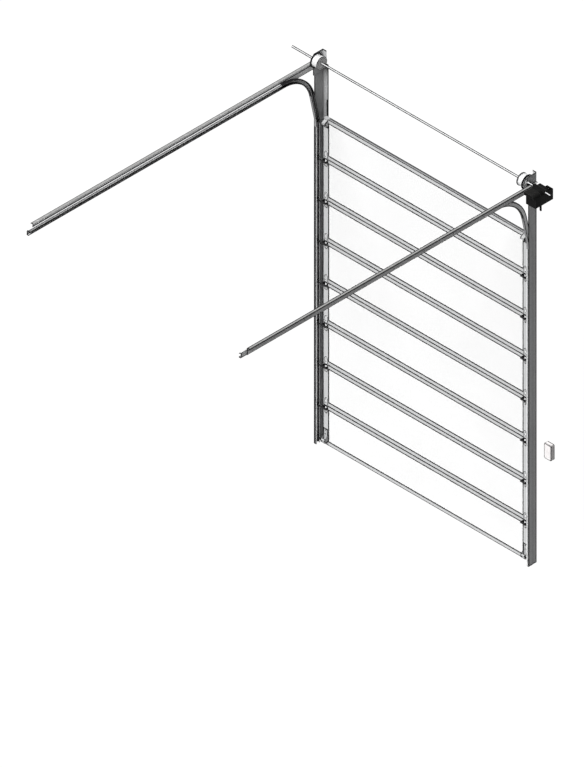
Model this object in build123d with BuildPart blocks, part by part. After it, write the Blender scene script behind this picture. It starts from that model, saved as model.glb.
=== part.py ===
from build123d import *
import math
import os

# Sectional garage door, shut, with its angles, tracks, shaft, drums, operator and control box.
# X runs to the right as seen from the room, +Y points out through the wall, +Z is up.
# The origin is on the back face of the left wall flange, on its centre line, at floor level.
# Sizes are in millimetres. Each side piece is built on the right and mirrored to the left.

# Opening and wall angles
clear_opening = 2840.0
flange_width = 85.0
leg_depth = 120.0
wall_angle_above_track = 6.5
sheet = 3.0
sheet_bend = 4.0
anchor_hole_radius = 5.5
anchor_from_floor = 250.0
anchor_from_top = 290.0
anchor_spacing = 800.0
anchor_pair_count = 3

# Door leaf
section_count = 8
bottom_section_height = 485.0
section_height = 500.0
top_section_height = 487.0
leaf_overlap = 16.0
leaf_thickness = 40.0
leaf_to_wall = 15.0
rail_height = 40.0
stile_width = 64.0
infill_recess = 2.0
section_gap = 1.5
tongue_radius = 6.0
tongue_gap = 1.5
top_groove_width = 10.0
top_groove_depth = 5.0
floor_seal_height = 8.0
floor_seal_round = 5.0
floor_seal_setback = 6.0

# Tracks: a C section, open towards the door
track_width = 55.0
track_depth = 28.0
track_wall = 2.0
track_lip = 12.0
track_corner = 5.0
track_to_wall = 65.0
track_incline = 12.0
track_bend_below_top = 44.5
track_bend_radius = 100.0
track_curve_radius = 398.0
track_joint_below_top = 112.0
track_curve_tail = 46.45
track_rail_above_leaf = 611.5
track_length = 4160.0
seat_margin = 1.0

# Horizontal angles beside the tracks
rail_angle_start = 10.0
rail_angle_end = 4077.0
rail_angle_height = 88.0
rail_angle_flange = 30.0
hanger_hole_radius = 5.5
hanger_hole_spacing = 80.0
hanger_hole_from_end = 127.0
hanger_hole_drop = 18.0

# Side seals
seal_above_leaf = 188.0
seal_width = 22.0
seal_base = 4.0
seal_slope_end = 12.0
seal_lip = 4.0
seal_clearance = 0.3

# Hinges, rollers and their brackets
hinge_from_edge = 36.0
hinge_width = 38.0
hinge_reach = 95.0
hinge_plate_gap = 8.0
hinge_plate = 3.0
hinge_weld = 1.0
cheek_foot = 45.0
top_cheek_foot = 30.0
pivot_to_leaf = 7.0
knuckle_radius = 6.0
knuckle_length = 9.0
knuckle_gap = 0.5
hinge_pin_radius = 3.0
hinge_pin_clearance = 0.05
holder_width = 60.0
roller_drop = 18.0
roller_radius = 23.0
roller_width = 14.0
roller_to_web = 7.0
roller_edge = 2.0
wheel_hub_radius = 9.0
wheel_tread_radius = 18.0
wheel_dish = 3.0
stem_radius = 5.5
stem_clearance = 0.1
tube_radius = 10.0
top_roller_below_top = 47.0
top_bracket_height = 97.0
top_bracket_below_top = 10.0
bottom_bracket_width = 60.0
bottom_bracket_height = 155.0
bottom_bracket_reach = 45.0
bottom_cheek_height = 77.0
bottom_roller_z = 75.0

# Shaft, end bearing plates and drums
shaft_radius = 12.7
shaft_to_wall = 112.0
shaft_above_rail_angle = 26.0
shaft_past_angle = 315.0
shaft_past_operator = 80.0
shaft_clearance = 0.05
keyway_width = 6.4
keyway_depth = 3.0
plate_lap = 110.0
plate_above_shaft = 78.0
plate_depth = 140.0
plate_flange = 52.0
plate_corner = 18.0
bearing_radius = 20.0
bearing_flange_radius = 24.0
bearing_flange = 4.0
bearing_nose = 8.0
bearing_nose_taper = 2.0
bearing_hole_gap = 0.3
drum_to_plate = 11.0
drum_length = 86.0
drum_barrel_radius = 67.0
drum_rim_radius = 73.0
drum_rim = 6.0
drum_flange_radius = 85.0
drum_flange = 8.0
drum_hub_radius = 24.0
drum_hub_stand = 5.0
drum_dish = 4.0
drum_dish_edge = 8.0
drum_bore_gap = 0.1
groove_radius = 4.0
groove_depth = 1.5
groove_pitch = 9.0

# Operator on the shaft
operator_from_angle = 95.0
operator_width = 135.0
operator_back = 55.0
operator_front = 248.0
operator_case_depth = 120.0
operator_below_shaft = 137.0
operator_above_shaft = 20.0
operator_round = 45.0
operator_lip_round = 34.0
operator_edge = 8.0
operator_lip_height = 35.0
operator_lip_reach = 27.0
boss_radius = 27.0
boss_inner_length = 25.0
boss_outer_length = 8.0
wall_bracket_width = 84.0
wall_bracket_height = 128.0
wall_bracket_sheet = 5.0
wall_bracket_hole_radius = 4.5
wall_bracket_hole_x = 40.0
wall_bracket_hole_z = 74.0
lever_from_end = 29.0
lever_to_wall = 147.0
lever_width = 24.0
lever_thickness = 8.0
lever_length = 86.0
lever_round = 10.0

# Control box on the wall
control_from_angle = 200.0
control_width = 100.0
control_bottom_z = 1370.0
control_top_z = 1553.0
control_base_depth = 32.0
control_lid_depth = 18.0
control_corner = 12.0
control_edge = 4.0

# Places that follow from the sizes above
middle_x = (clear_opening + flange_width) / 2
door_middle = Plane.YZ.offset(middle_x)
leg_outer_x = middle_x + clear_opening / 2 + flange_width
leg_inner_x = leg_outer_x - sheet
leaf_outer_y = -leaf_to_wall
leaf_inner_y = leaf_outer_y - leaf_thickness
leaf_middle_y = leaf_outer_y - leaf_thickness / 2
leaf_width = clear_opening + 2 * leaf_overlap
leaf_edge_x = middle_x + leaf_width / 2
stile_inner_x = leaf_edge_x - stile_width
joints = [bottom_section_height + k * section_height for k in range(section_count - 1)]
leaf_top_z = joints[-1] + top_section_height
track_bend_z = leaf_top_z - track_bend_below_top
track_joint_z = leaf_top_z - track_joint_below_top
track_rail_z = leaf_top_z + track_rail_above_leaf
wall_angle_height = track_rail_z + wall_angle_above_track
rail_angle_bottom = track_rail_z - track_width / 2
rail_angle_top = rail_angle_bottom + rail_angle_height
track_web_x = leg_outer_x
track_middle_x = track_web_x - track_depth / 2
track_y = -track_to_wall - track_width / 2
pivot_y = leaf_inner_y - pivot_to_leaf
cheek_root_y = leaf_inner_y - hinge_weld
hinge_x = leaf_edge_x - hinge_from_edge
holder_x = (hinge_x - holder_width / 2, hinge_x + holder_width / 2)
cheek_x = (holder_x[0], holder_x[1] - hinge_plate)
wheel_outer_x = track_web_x - roller_to_web
wheel_inner_x = wheel_outer_x - roller_width
top_roller_z = leaf_top_z - top_roller_below_top
shaft_y = -shaft_to_wall
shaft_z = rail_angle_top + shaft_above_rail_angle
plate_bottom_z = wall_angle_height - plate_lap
plate_top_z = shaft_z + plate_above_shaft
operator_bottom_z = shaft_z - operator_below_shaft
operator_top_z = shaft_z + operator_above_shaft
operator_x = leg_outer_x + operator_from_angle
operator_end_x = operator_x + operator_width
operator_middle_x = (operator_x + operator_end_x) / 2
operator_split = operator_back + operator_case_depth
shaft_from_x = 2 * middle_x - leg_outer_x - shaft_past_angle
shaft_to_x = operator_end_x + shaft_past_operator
plate_x = leg_inner_x - sheet
shaft_axis = Axis((0, shaft_y, shaft_z), (1, 0, 0))
shaft_plane = Plane.XZ.offset(shaft_to_wall)

os.makedirs("parts", exist_ok=True)


def save(piece, name):
    piece.part.label = name
    export_step(piece.part, "parts/" + name + ".step")


def save_pair(right_piece, name):
    save(right_piece, "right_" + name)
    with BuildPart() as left_piece:
        mirror(right_piece.part, about=door_middle)
    save(left_piece, "left_" + name)


def box(low, high):
    """A box between two opposite corners, added to the piece being built."""
    size = [b - a for a, b in zip(low, high)]
    with Locations(tuple((a + b) / 2 for a, b in zip(low, high))):
        Box(*size)


def rod(x_from, x_to, y, z, radius, mode=Mode.ADD):
    """A round bar along X, added to or taken from the piece being built."""
    with BuildSketch(Plane.YZ.offset(x_from)) as round_face:
        with Locations((y, z)):
            Circle(radius)
    extrude(round_face.sketch, amount=x_to - x_from, mode=mode)


def plate(x_from, thickness, points):
    """A flat plate across X with its outline given as (y, z) points."""
    with BuildSketch(Plane.YZ.offset(x_from)) as outline:
        Polygon(*points, align=None)
    extrude(outline.sketch, amount=thickness)


# Wall angles
def seat_outline(offset):
    """Outline of the track's place on the leg, up to this distance from the track's centre line."""
    lean = math.radians(track_incline)
    edge_y = track_y + offset
    corner_z = track_bend_z + offset * math.tan(lean / 2)
    exit_z = corner_z + (edge_y + leg_depth) / math.tan(lean)
    return (-leg_depth, 0), (edge_y, 0), (edge_y, corner_z), (-leg_depth, exit_z)


seat_offset = track_width / 2 + seat_margin
with BuildPart() as wall_angle:
    with BuildSketch(Plane.YZ.offset(leg_inner_x)):
        with Locations((-leg_depth / 2, wall_angle_height / 2)):
            Rectangle(leg_depth, wall_angle_height)
        Polygon(*seat_outline(seat_offset), align=None, mode=Mode.SUBTRACT)
    extrude(amount=sheet)
    with BuildSketch(Plane.YZ.offset(leg_inner_x)):
        Polygon(*seat_outline(seat_offset + sheet), align=None)
        Polygon(*seat_outline(seat_offset), align=None, mode=Mode.SUBTRACT)
    extrude(amount=2 * sheet)
    with BuildSketch(Plane.YZ.offset(leg_outer_x)):
        Polygon(*seat_outline(seat_offset + sheet), align=None)
    extrude(amount=sheet)
    box((leg_outer_x - flange_width, -sheet, 0), (leg_outer_x, 0, wall_angle_height))
    fillet(edges().filter_by(Axis.Z).group_by(Axis.Y)[-1].sort_by(Axis.X)[-1], radius=sheet_bend)
    with BuildSketch(Plane.XZ):
        for k in range(anchor_pair_count):
            low_z = anchor_from_floor + k * anchor_spacing
            high_z = wall_angle_height - anchor_from_top - k * anchor_spacing
            with Locations([(leg_outer_x - flange_width / 2, z) for z in (low_z, high_z)]):
                Circle(anchor_hole_radius)
    extrude(amount=sheet, mode=Mode.SUBTRACT)
save_pair(wall_angle, "wall_angle")


# Tracks
def track_section(middle):
    """The C section, centred at this place along the sketch's second axis."""
    with Locations((track_middle_x, middle)):
        RectangleRounded(track_depth, track_width, track_corner)
        RectangleRounded(track_depth - 2 * track_wall, track_width - 2 * track_wall,
                         track_corner - track_wall, mode=Mode.SUBTRACT)
    with Locations((track_web_x - track_depth + track_corner / 2, middle)):
        Rectangle(track_corner, track_width - 2 * track_lip, mode=Mode.SUBTRACT)


with BuildPart() as vertical_track:
    with BuildSketch(Plane.XY):
        track_section(track_y)
    extrude(amount=track_joint_z)
save_pair(vertical_track, "vertical_track")

lean_run = (track_rail_z - track_bend_z) * math.tan(math.radians(track_incline))
curve_turn = math.radians(90 - track_incline)
curve_run = track_curve_radius * math.tan(curve_turn / 2)
track_curve_end = lean_run - track_y + curve_run + track_curve_tail
with BuildPart() as curved_track:
    with BuildLine(Plane.YZ.offset(track_middle_x)) as curve:
        FilletPolyline((track_y, track_joint_z), (track_y, track_bend_z),
                       (track_y - lean_run, track_rail_z), (-track_curve_end, track_rail_z),
                       radius=[track_bend_radius, track_curve_radius])
    with BuildSketch(Plane.XY.offset(track_joint_z)):
        track_section(track_y)
    sweep(path=curve.wire())
save_pair(curved_track, "curved_track")

with BuildPart() as horizontal_track:
    with BuildSketch(Plane.XZ.offset(track_curve_end)):
        track_section(track_rail_z)
    extrude(amount=track_length - track_curve_end)
save_pair(horizontal_track, "horizontal_track")

# Horizontal angles
hanger_y = -(rail_angle_end - hanger_hole_from_end)
with BuildPart() as horizontal_angle:
    box((leg_outer_x, -rail_angle_end, rail_angle_bottom),
        (leg_outer_x + sheet, -rail_angle_start, rail_angle_top))
    box((leg_outer_x, -rail_angle_end, rail_angle_top - sheet),
        (leg_outer_x + rail_angle_flange, -rail_angle_start, rail_angle_top))
    fillet(edges().filter_by(Axis.Y).group_by(Axis.Z)[-1].sort_by(Axis.X)[0], radius=sheet_bend)
    for step in (-0.5, 0.5):
        rod(leg_outer_x, leg_outer_x + sheet, hanger_y + step * hanger_hole_spacing,
            rail_angle_top - hanger_hole_drop, hanger_hole_radius, mode=Mode.SUBTRACT)
save_pair(horizontal_angle, "horizontal_angle")

# Side seals, pressed lightly against the outer face of the leaf
seal_root = leg_outer_x - flange_width - seal_lip
seal_tip_y = leaf_outer_y + seal_clearance
with BuildPart() as side_seal:
    with BuildSketch(Plane.XY):
        Polygon((seal_root + seal_lip, -sheet), (seal_root + seal_lip + seal_width, -sheet),
                (seal_root + seal_lip + seal_width, -sheet - seal_base),
                (seal_root + seal_slope_end, -sheet - seal_base),
                (seal_root + seal_lip, seal_tip_y), (seal_root, seal_tip_y),
                (seal_root + seal_lip, -sheet - seal_base), align=None)
    extrude(amount=leaf_top_z + seal_above_leaf)
save_pair(side_seal, "side_seal")

# End bearing plates and shaft bearings
with BuildPart() as bearing_plate:
    with BuildSketch(Plane.YZ.offset(plate_x)):
        with BuildLine():
            Polyline((-sheet, plate_bottom_z), (-sheet, wall_angle_height), (0, wall_angle_height),
                     (0, plate_top_z), (-plate_depth, plate_top_z), (-plate_depth, plate_bottom_z),
                     close=True)
        make_face()
        room_corners = vertices().group_by(Axis.X)[0]
        fillet(room_corners, radius=plate_corner)
        with Locations((shaft_y, shaft_z)):
            Circle(bearing_radius + bearing_hole_gap, mode=Mode.SUBTRACT)
    extrude(amount=sheet)
    box((leg_inner_x - plate_flange, -sheet, wall_angle_height), (leg_inner_x, 0, plate_top_z))
    fillet(edges().filter_by(Axis.Z).group_by(Axis.Y)[-1].sort_by(Axis.X)[-1], radius=sheet_bend)
save_pair(bearing_plate, "bearing_plate")

bearing_bore = shaft_radius + shaft_clearance
with BuildPart() as shaft_bearing:
    with BuildSketch(shaft_plane):
        Polygon((plate_x, shaft_z + bearing_bore), (plate_x, shaft_z + bearing_radius),
                (leg_inner_x, shaft_z + bearing_radius), (leg_inner_x, shaft_z + bearing_flange_radius),
                (leg_inner_x + bearing_flange, shaft_z + bearing_flange_radius),
                (leg_inner_x + bearing_flange, shaft_z + bearing_radius),
                (leg_inner_x + bearing_flange + bearing_nose,
                 shaft_z + bearing_radius - bearing_nose_taper),
                (leg_inner_x + bearing_flange + bearing_nose, shaft_z + bearing_bore), align=None)
    revolve(axis=shaft_axis)
save_pair(shaft_bearing, "shaft_bearing")

# Drive shaft with its keyway, and grooved cable drums
with BuildPart() as drive_shaft:
    rod(shaft_from_x, shaft_to_x, shaft_y, shaft_z, shaft_radius)
    keyway_y = shaft_y - shaft_radius + keyway_depth / 2
    with Locations(((shaft_from_x + shaft_to_x) / 2, keyway_y, shaft_z)):
        Box(shaft_to_x - shaft_from_x, keyway_depth, keyway_width, mode=Mode.SUBTRACT)
save(drive_shaft, "drive_shaft")


def ring(x_from, x_to, r_from, r_to, mode=Mode.ADD):
    """A rectangle beside the shaft's axis, which turns into a ring round it."""
    with Locations(((x_from + x_to) / 2, shaft_z + (r_from + r_to) / 2)):
        Rectangle(x_to - x_from, r_to - r_from, mode=mode)


drum_out = plate_x - drum_to_plate
drum_in = drum_out - drum_length
groove_from = drum_in + drum_rim + groove_pitch / 2
groove_count = int((drum_length - drum_rim - drum_flange) // groove_pitch)
with BuildPart() as drum:
    with BuildSketch(shaft_plane):
        drum_bore = shaft_radius + drum_bore_gap
        ring(drum_in, drum_out, drum_bore, drum_barrel_radius)
        ring(drum_in, drum_in + drum_rim, drum_barrel_radius, drum_rim_radius)
        ring(drum_out - drum_flange, drum_out, drum_barrel_radius, drum_flange_radius)
        dish_from = drum_hub_radius
        dish_to = drum_barrel_radius - drum_dish_edge
        ring(drum_in, drum_in + drum_dish, dish_from, dish_to, mode=Mode.SUBTRACT)
        ring(drum_out - drum_dish, drum_out, dish_from, dish_to, mode=Mode.SUBTRACT)
        ring(drum_out, drum_out + drum_hub_stand, drum_bore, drum_hub_radius)
        for k in range(groove_count):
            with Locations((groove_from + k * groove_pitch,
                            shaft_z + drum_barrel_radius + groove_radius - groove_depth)):
                Circle(groove_radius, mode=Mode.SUBTRACT)
    revolve(axis=shaft_axis)
save_pair(drum, "cable_drum")


# Door leaf
def section_levels(index):
    """Bottom and top of one section, clear of the gaps at its joints."""
    low = floor_seal_height if index == 0 else joints[index - 1] + section_gap / 2
    high = leaf_top_z if index == section_count - 1 else joints[index] - section_gap / 2
    return low, high


def infill(index):
    low, high = section_levels(index)
    box((2 * middle_x - stile_inner_x, leaf_inner_y + infill_recess, low + rail_height),
        (stile_inner_x, leaf_outer_y - infill_recess, high - rail_height))


def section_rails(index):
    """The two rails of one section, with the tongue and groove of its joints."""
    low, high = section_levels(index)
    half = leaf_width / 2 if index == 0 else stile_inner_x - middle_x
    with BuildSketch(Plane.YZ.offset(middle_x - half)) as lower_rail:
        with Locations((leaf_middle_y, low + rail_height / 2)):
            Rectangle(leaf_thickness, rail_height)
        if index > 0:
            with Locations((leaf_middle_y, low - section_gap)):
                Circle(tongue_radius + tongue_gap, mode=Mode.SUBTRACT)
    extrude(lower_rail.sketch, amount=2 * half)
    half = stile_inner_x - middle_x
    with BuildSketch(Plane.YZ.offset(middle_x - half)) as upper_rail:
        with Locations((leaf_middle_y, high - rail_height / 2)):
            Rectangle(leaf_thickness, rail_height)
        if index < section_count - 1:
            with Locations((leaf_middle_y, high)):
                Circle(tongue_radius)
    extrude(upper_rail.sketch, amount=2 * half)


def section_stile(index):
    low, high = section_levels(index)
    foot = low + rail_height if index == 0 else low
    box((stile_inner_x, leaf_inner_y, foot), (leaf_edge_x, leaf_outer_y, high))


for index in range(section_count):
    with BuildPart() as section:
        infill(index)
    save(section, "section_" + str(index + 1))

with BuildPart() as rails:
    for index in range(section_count - 1):
        section_rails(index)
save(rails, "section_rails")

with BuildPart() as top_rails:
    section_rails(section_count - 1)
    with Locations((middle_x, leaf_middle_y, leaf_top_z - top_groove_depth / 2)):
        Box(2 * (stile_inner_x - middle_x), top_groove_width, top_groove_depth, mode=Mode.SUBTRACT)
save(top_rails, "top_section_rails")

with BuildPart() as stiles:
    for index in range(section_count - 1):
        section_stile(index)
    mirror(about=door_middle)
save(stiles, "section_stiles")

with BuildPart() as top_stiles:
    section_stile(section_count - 1)
    mirror(about=door_middle)
save(top_stiles, "top_section_stiles")

with BuildPart() as floor_seal:
    box((middle_x - leaf_width / 2, leaf_inner_y + floor_seal_setback, 0),
        (leaf_edge_x, leaf_outer_y - floor_seal_setback, floor_seal_height))
    fillet(edges().filter_by(Axis.X).group_by(Axis.Z)[0], radius=floor_seal_round)
save(floor_seal, "floor_seal")


# Side hinges, each with a tube for the roller stem
def round_ended_plate(z_square, z_round):
    """A hinge leaf on the inner face of the door, with one square and one round end."""
    reach = abs(z_round - z_square) - hinge_width / 2
    way = 1 if z_round > z_square else -1
    with BuildSketch(Plane.XZ.offset(-leaf_inner_y)) as outline:
        with Locations((hinge_x, z_square + way * reach / 2)):
            Rectangle(hinge_width, reach)
        with Locations((hinge_x, z_square + way * reach)):
            Circle(hinge_width / 2)
    extrude(outline.sketch, amount=hinge_plate)


def stem_tube(x_from, x_to, z):
    rod(x_from, x_to, track_y, z, tube_radius)
    rod(x_from, x_to, track_y, z, stem_radius + stem_clearance, mode=Mode.SUBTRACT)


def knuckle(x_from, length, z, way):
    """One knuckle on the pivot line, with the neck that joins it to its hinge leaf."""
    rod(x_from, x_from + length, pivot_y, z, knuckle_radius)
    neck = sorted((z, z + way * (hinge_plate_gap + hinge_plate)))
    box((x_from, leaf_inner_y - hinge_plate, neck[0]), (x_from + length, leaf_inner_y, neck[1]))


def lower_hinge_leaf(z):
    round_ended_plate(z - hinge_plate_gap, z - hinge_reach)
    box((holder_x[0], leaf_inner_y - hinge_plate, z - cheek_foot),
        (holder_x[1], leaf_inner_y, z - hinge_plate_gap))
    roller_z = z - roller_drop
    for x in cheek_x:
        plate(x, hinge_plate,
              ((cheek_root_y, z - cheek_foot), (cheek_root_y, z - hinge_plate_gap),
               (track_y, roller_z + tube_radius), (track_y, roller_z - tube_radius)))
    stem_tube(*holder_x, roller_z)
    for x in (hinge_x - hinge_width / 2, hinge_x + hinge_width / 2 - knuckle_length):
        knuckle(x, knuckle_length, z, -1)
    rod(hinge_x - hinge_width / 2, hinge_x + hinge_width / 2, pivot_y, z, hinge_pin_radius)


def upper_hinge_leaf(z):
    round_ended_plate(z + hinge_plate_gap, z + hinge_reach)
    half = hinge_width / 2 - knuckle_length - knuckle_gap
    knuckle(hinge_x - half, 2 * half, z, 1)
    rod(hinge_x - half, hinge_x + half, pivot_y, z, hinge_pin_radius + hinge_pin_clearance,
        mode=Mode.SUBTRACT)


with BuildPart() as lower_hinge:
    lower_hinge_leaf(joints[0])
with BuildPart() as upper_hinge:
    upper_hinge_leaf(joints[0])
with BuildPart() as hinges:
    for z in joints:
        with Locations((0, 0, z - joints[0])):
            add(lower_hinge.part)
    for z in joints[:-1]:
        with Locations((0, 0, z - joints[0])):
            add(upper_hinge.part)
    mirror(about=door_middle)
save(hinges, "side_hinges")

with BuildPart() as top_hinges:
    with Locations((0, 0, joints[-1] - joints[0])):
        add(upper_hinge.part)
    mirror(about=door_middle)
save(top_hinges, "top_hinge_leaves")

# Brackets at the bottom corners and at the top of the leaf
bracket_x = leaf_edge_x - bottom_bracket_width
bracket_z = floor_seal_height + rail_height
with BuildPart() as bottom_brackets:
    box((bracket_x, leaf_inner_y - hinge_plate, bracket_z),
        (leaf_edge_x, leaf_inner_y, bracket_z + bottom_bracket_height))
    box((bracket_x, leaf_inner_y - bottom_bracket_reach, bracket_z),
        (leaf_edge_x, leaf_inner_y, bracket_z + hinge_plate))
    for x in (bracket_x, leaf_edge_x - hinge_plate):
        plate(x, hinge_plate, ((cheek_root_y, bracket_z),
                               (cheek_root_y, bracket_z + bottom_cheek_height),
                               (leaf_inner_y - bottom_bracket_reach, bottom_roller_z + tube_radius),
                               (leaf_inner_y - bottom_bracket_reach, bracket_z)))
    stem_tube(bracket_x, leaf_edge_x, bottom_roller_z)
    mirror(about=door_middle)
save(bottom_brackets, "bottom_brackets")

top_bracket_z = leaf_top_z - top_bracket_below_top
with BuildPart() as top_brackets:
    box((holder_x[0], leaf_inner_y - hinge_plate, top_bracket_z - top_bracket_height),
        (holder_x[1], leaf_inner_y, top_bracket_z))
    for x in cheek_x:
        plate(x, hinge_plate, ((cheek_root_y, top_roller_z - top_cheek_foot),
                               (cheek_root_y, top_bracket_z - hinge_plate),
                               (track_y, top_roller_z + tube_radius),
                               (track_y, top_roller_z - tube_radius)))
    plate(holder_x[0], holder_width,
          ((cheek_root_y, top_bracket_z), (cheek_root_y, top_bracket_z - hinge_plate),
           (track_y - tube_radius, top_roller_z + tube_radius),
           (track_y - tube_radius, top_roller_z + tube_radius + hinge_plate)))
    stem_tube(*holder_x, top_roller_z)
    mirror(about=door_middle)
save(top_brackets, "top_brackets")


# Rollers: a stem in the bracket's tube and a wheel inside the track
def stem(x_from, z):
    rod(x_from, wheel_outer_x, track_y, z, stem_radius)


wheel_bore = stem_radius + stem_clearance


def wheel(z):
    with BuildSketch(Plane.XZ.offset(-track_y)) as half_section:
        with BuildLine():
            Polyline((wheel_inner_x, z + wheel_bore), (wheel_inner_x, z + wheel_hub_radius),
                     (wheel_inner_x + wheel_dish, z + wheel_hub_radius),
                     (wheel_inner_x + wheel_dish, z + wheel_tread_radius),
                     (wheel_inner_x, z + wheel_tread_radius),
                     (wheel_inner_x, z + roller_radius - roller_edge),
                     (wheel_inner_x + roller_edge, z + roller_radius),
                     (wheel_outer_x - roller_edge, z + roller_radius),
                     (wheel_outer_x, z + roller_radius - roller_edge), (wheel_outer_x, z + wheel_bore),
                     close=True)
        make_face()
    revolve(half_section.sketch, axis=Axis((0, track_y, z), (1, 0, 0)))


roller_levels = [z - roller_drop for z in joints]
with BuildPart() as stems:
    for z in roller_levels:
        stem(cheek_x[0], z)
    stem(bracket_x, bottom_roller_z)
    mirror(about=door_middle)
save(stems, "roller_stems")

with BuildPart() as wheels:
    for z in [bottom_roller_z] + roller_levels:
        wheel(z)
    mirror(about=door_middle)
save(wheels, "roller_wheels")

with BuildPart() as top_stems:
    stem(cheek_x[0], top_roller_z)
    mirror(about=door_middle)
save(top_stems, "top_roller_stems")

with BuildPart() as top_wheels:
    wheel(top_roller_z)
    mirror(about=door_middle)
save(top_wheels, "top_roller_wheels")

# Operator: gear case round the shaft, front cover, wall bracket and release lever
def operator_outline(low, round_radius):
    """Outline of the operator seen from the front, down to this height."""
    with Locations((operator_middle_x, (low + operator_top_z) / 2)):
        Rectangle(operator_width, operator_top_z - low)
    fillet(vertices().group_by(Axis.Y)[-1].sort_by(Axis.X)[-1], radius=round_radius)
    fillet(vertices().group_by(Axis.Y)[-1].sort_by(Axis.X)[0], radius=operator_edge)


with BuildPart() as gear_case:
    with BuildSketch(Plane.XZ.offset(operator_back)):
        operator_outline(operator_bottom_z, operator_round)
    extrude(amount=operator_case_depth)
    rod(operator_x - boss_inner_length, operator_end_x + boss_outer_length, shaft_y, shaft_z,
        boss_radius)
    rod(operator_x - boss_inner_length, operator_end_x + boss_outer_length, shaft_y, shaft_z,
        shaft_radius + shaft_clearance, mode=Mode.SUBTRACT)
save(gear_case, "operator_gear_case")

with BuildPart() as front_cover:
    with BuildSketch(Plane.XZ.offset(operator_split)):
        operator_outline(operator_bottom_z, operator_round)
    extrude(amount=operator_front - operator_split)
    with BuildSketch(Plane.XZ.offset(operator_front)):
        operator_outline(operator_top_z - operator_lip_height, operator_lip_round)
    extrude(amount=operator_lip_reach)
save(front_cover, "operator_front_cover")

bracket_outer_x = operator_end_x
bracket_inner_x = operator_end_x - wall_bracket_width
bracket_top_z = operator_bottom_z + wall_bracket_height
with BuildPart() as wall_bracket:
    box((bracket_inner_x, -wall_bracket_sheet, operator_bottom_z), (bracket_outer_x, 0, bracket_top_z))
    for x in (bracket_inner_x, bracket_outer_x - wall_bracket_sheet):
        box((x, -operator_back, operator_bottom_z), (x + wall_bracket_sheet, 0, bracket_top_z))
    with BuildSketch(Plane.XZ):
        with Locations(((bracket_inner_x + bracket_outer_x) / 2,
                        (operator_bottom_z + bracket_top_z) / 2)):
            with GridLocations(wall_bracket_hole_x, wall_bracket_hole_z, 2, 2):
                Circle(wall_bracket_hole_radius)
    extrude(amount=wall_bracket_sheet, mode=Mode.SUBTRACT)
save(wall_bracket, "operator_bracket")

lever_x = operator_end_x - lever_from_end
lever_y = -lever_to_wall
with BuildPart() as release_lever:
    box((lever_x - lever_width / 2, lever_y - lever_thickness / 2, operator_bottom_z - lever_length),
        (lever_x + lever_width / 2, lever_y + lever_thickness / 2, operator_bottom_z))
    fillet(edges().filter_by(Axis.Y).group_by(Axis.Z)[0], radius=lever_round)
save(release_lever, "operator_release_lever")

# Control box on the wall
control_x = leg_outer_x + control_from_angle
control_z = (control_bottom_z + control_top_z) / 2
with BuildPart() as control_box:
    with BuildSketch(Plane.XZ):
        with Locations((control_x, control_z)):
            RectangleRounded(control_width, control_top_z - control_bottom_z, control_corner)
    extrude(amount=control_base_depth)
save(control_box, "control_box")

with BuildPart() as control_lid:
    with BuildSketch(Plane.XZ.offset(control_base_depth)):
        with Locations((control_x, control_z)):
            RectangleRounded(control_width, control_top_z - control_bottom_z, control_corner)
    extrude(amount=control_lid_depth)
    fillet(faces().sort_by(Axis.Y)[0].edges(), radius=control_edge)
save(control_lid, "control_box_lid")
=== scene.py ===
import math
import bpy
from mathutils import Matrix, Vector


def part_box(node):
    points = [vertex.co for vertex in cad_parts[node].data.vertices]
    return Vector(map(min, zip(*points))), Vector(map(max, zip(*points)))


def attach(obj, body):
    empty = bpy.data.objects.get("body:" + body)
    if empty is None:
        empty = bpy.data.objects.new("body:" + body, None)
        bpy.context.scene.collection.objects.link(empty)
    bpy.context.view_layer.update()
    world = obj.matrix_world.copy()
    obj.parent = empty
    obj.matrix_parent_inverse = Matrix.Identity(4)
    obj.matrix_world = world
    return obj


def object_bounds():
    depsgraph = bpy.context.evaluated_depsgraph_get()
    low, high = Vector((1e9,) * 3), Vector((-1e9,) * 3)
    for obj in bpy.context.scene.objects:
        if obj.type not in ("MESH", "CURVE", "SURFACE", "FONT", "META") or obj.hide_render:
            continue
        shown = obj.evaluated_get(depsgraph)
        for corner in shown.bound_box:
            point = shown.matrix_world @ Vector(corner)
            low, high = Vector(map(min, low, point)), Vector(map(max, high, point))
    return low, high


bl_info = {
    "name": "Sectional garage door",
    "version": (1, 0, 0),
    "blender": (4, 5, 0),
    "location": "View3D > Sidebar > Garage door",
    "description": "Dresses the packed garage door: finishes, gaskets, fasteners and studio",
    "category": "Object",
}

import bmesh
import bpy
from mathutils import Vector

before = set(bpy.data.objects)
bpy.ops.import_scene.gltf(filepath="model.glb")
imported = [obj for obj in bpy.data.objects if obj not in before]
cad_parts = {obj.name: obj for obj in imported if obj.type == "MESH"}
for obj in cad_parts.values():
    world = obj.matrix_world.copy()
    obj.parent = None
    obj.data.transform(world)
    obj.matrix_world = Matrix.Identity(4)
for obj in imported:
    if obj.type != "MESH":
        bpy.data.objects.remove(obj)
cad_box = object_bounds()

# Places that every piece is made from, read from the frame, in metres
SECTIONS = ["section_%d" % number for number in range(1, 9)]
STILES_LOW, STILES_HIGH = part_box("section_stiles")
HINGES_LOW, HINGES_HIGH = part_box("side_hinges")
MIDDLE_X = (STILES_LOW.x + STILES_HIGH.x) / 2
INNER_FACE = STILES_LOW.y
OUTER_FACE = STILES_HIGH.y

# Sizes of the frame's parts that their boxes don't tell, in metres
CURVE_RADIUS = 0.398
CURVE_TAIL = 0.0465
INCLINE = math.radians(12)
BRACKET_WIDTH = 0.060
PLATE_WIDTH = 0.038
PLATE_HEIGHT = 0.190
SECTION_PITCH = 0.500
HOLDER_START = 0.0035
COVER_STEP = 0.027

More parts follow.
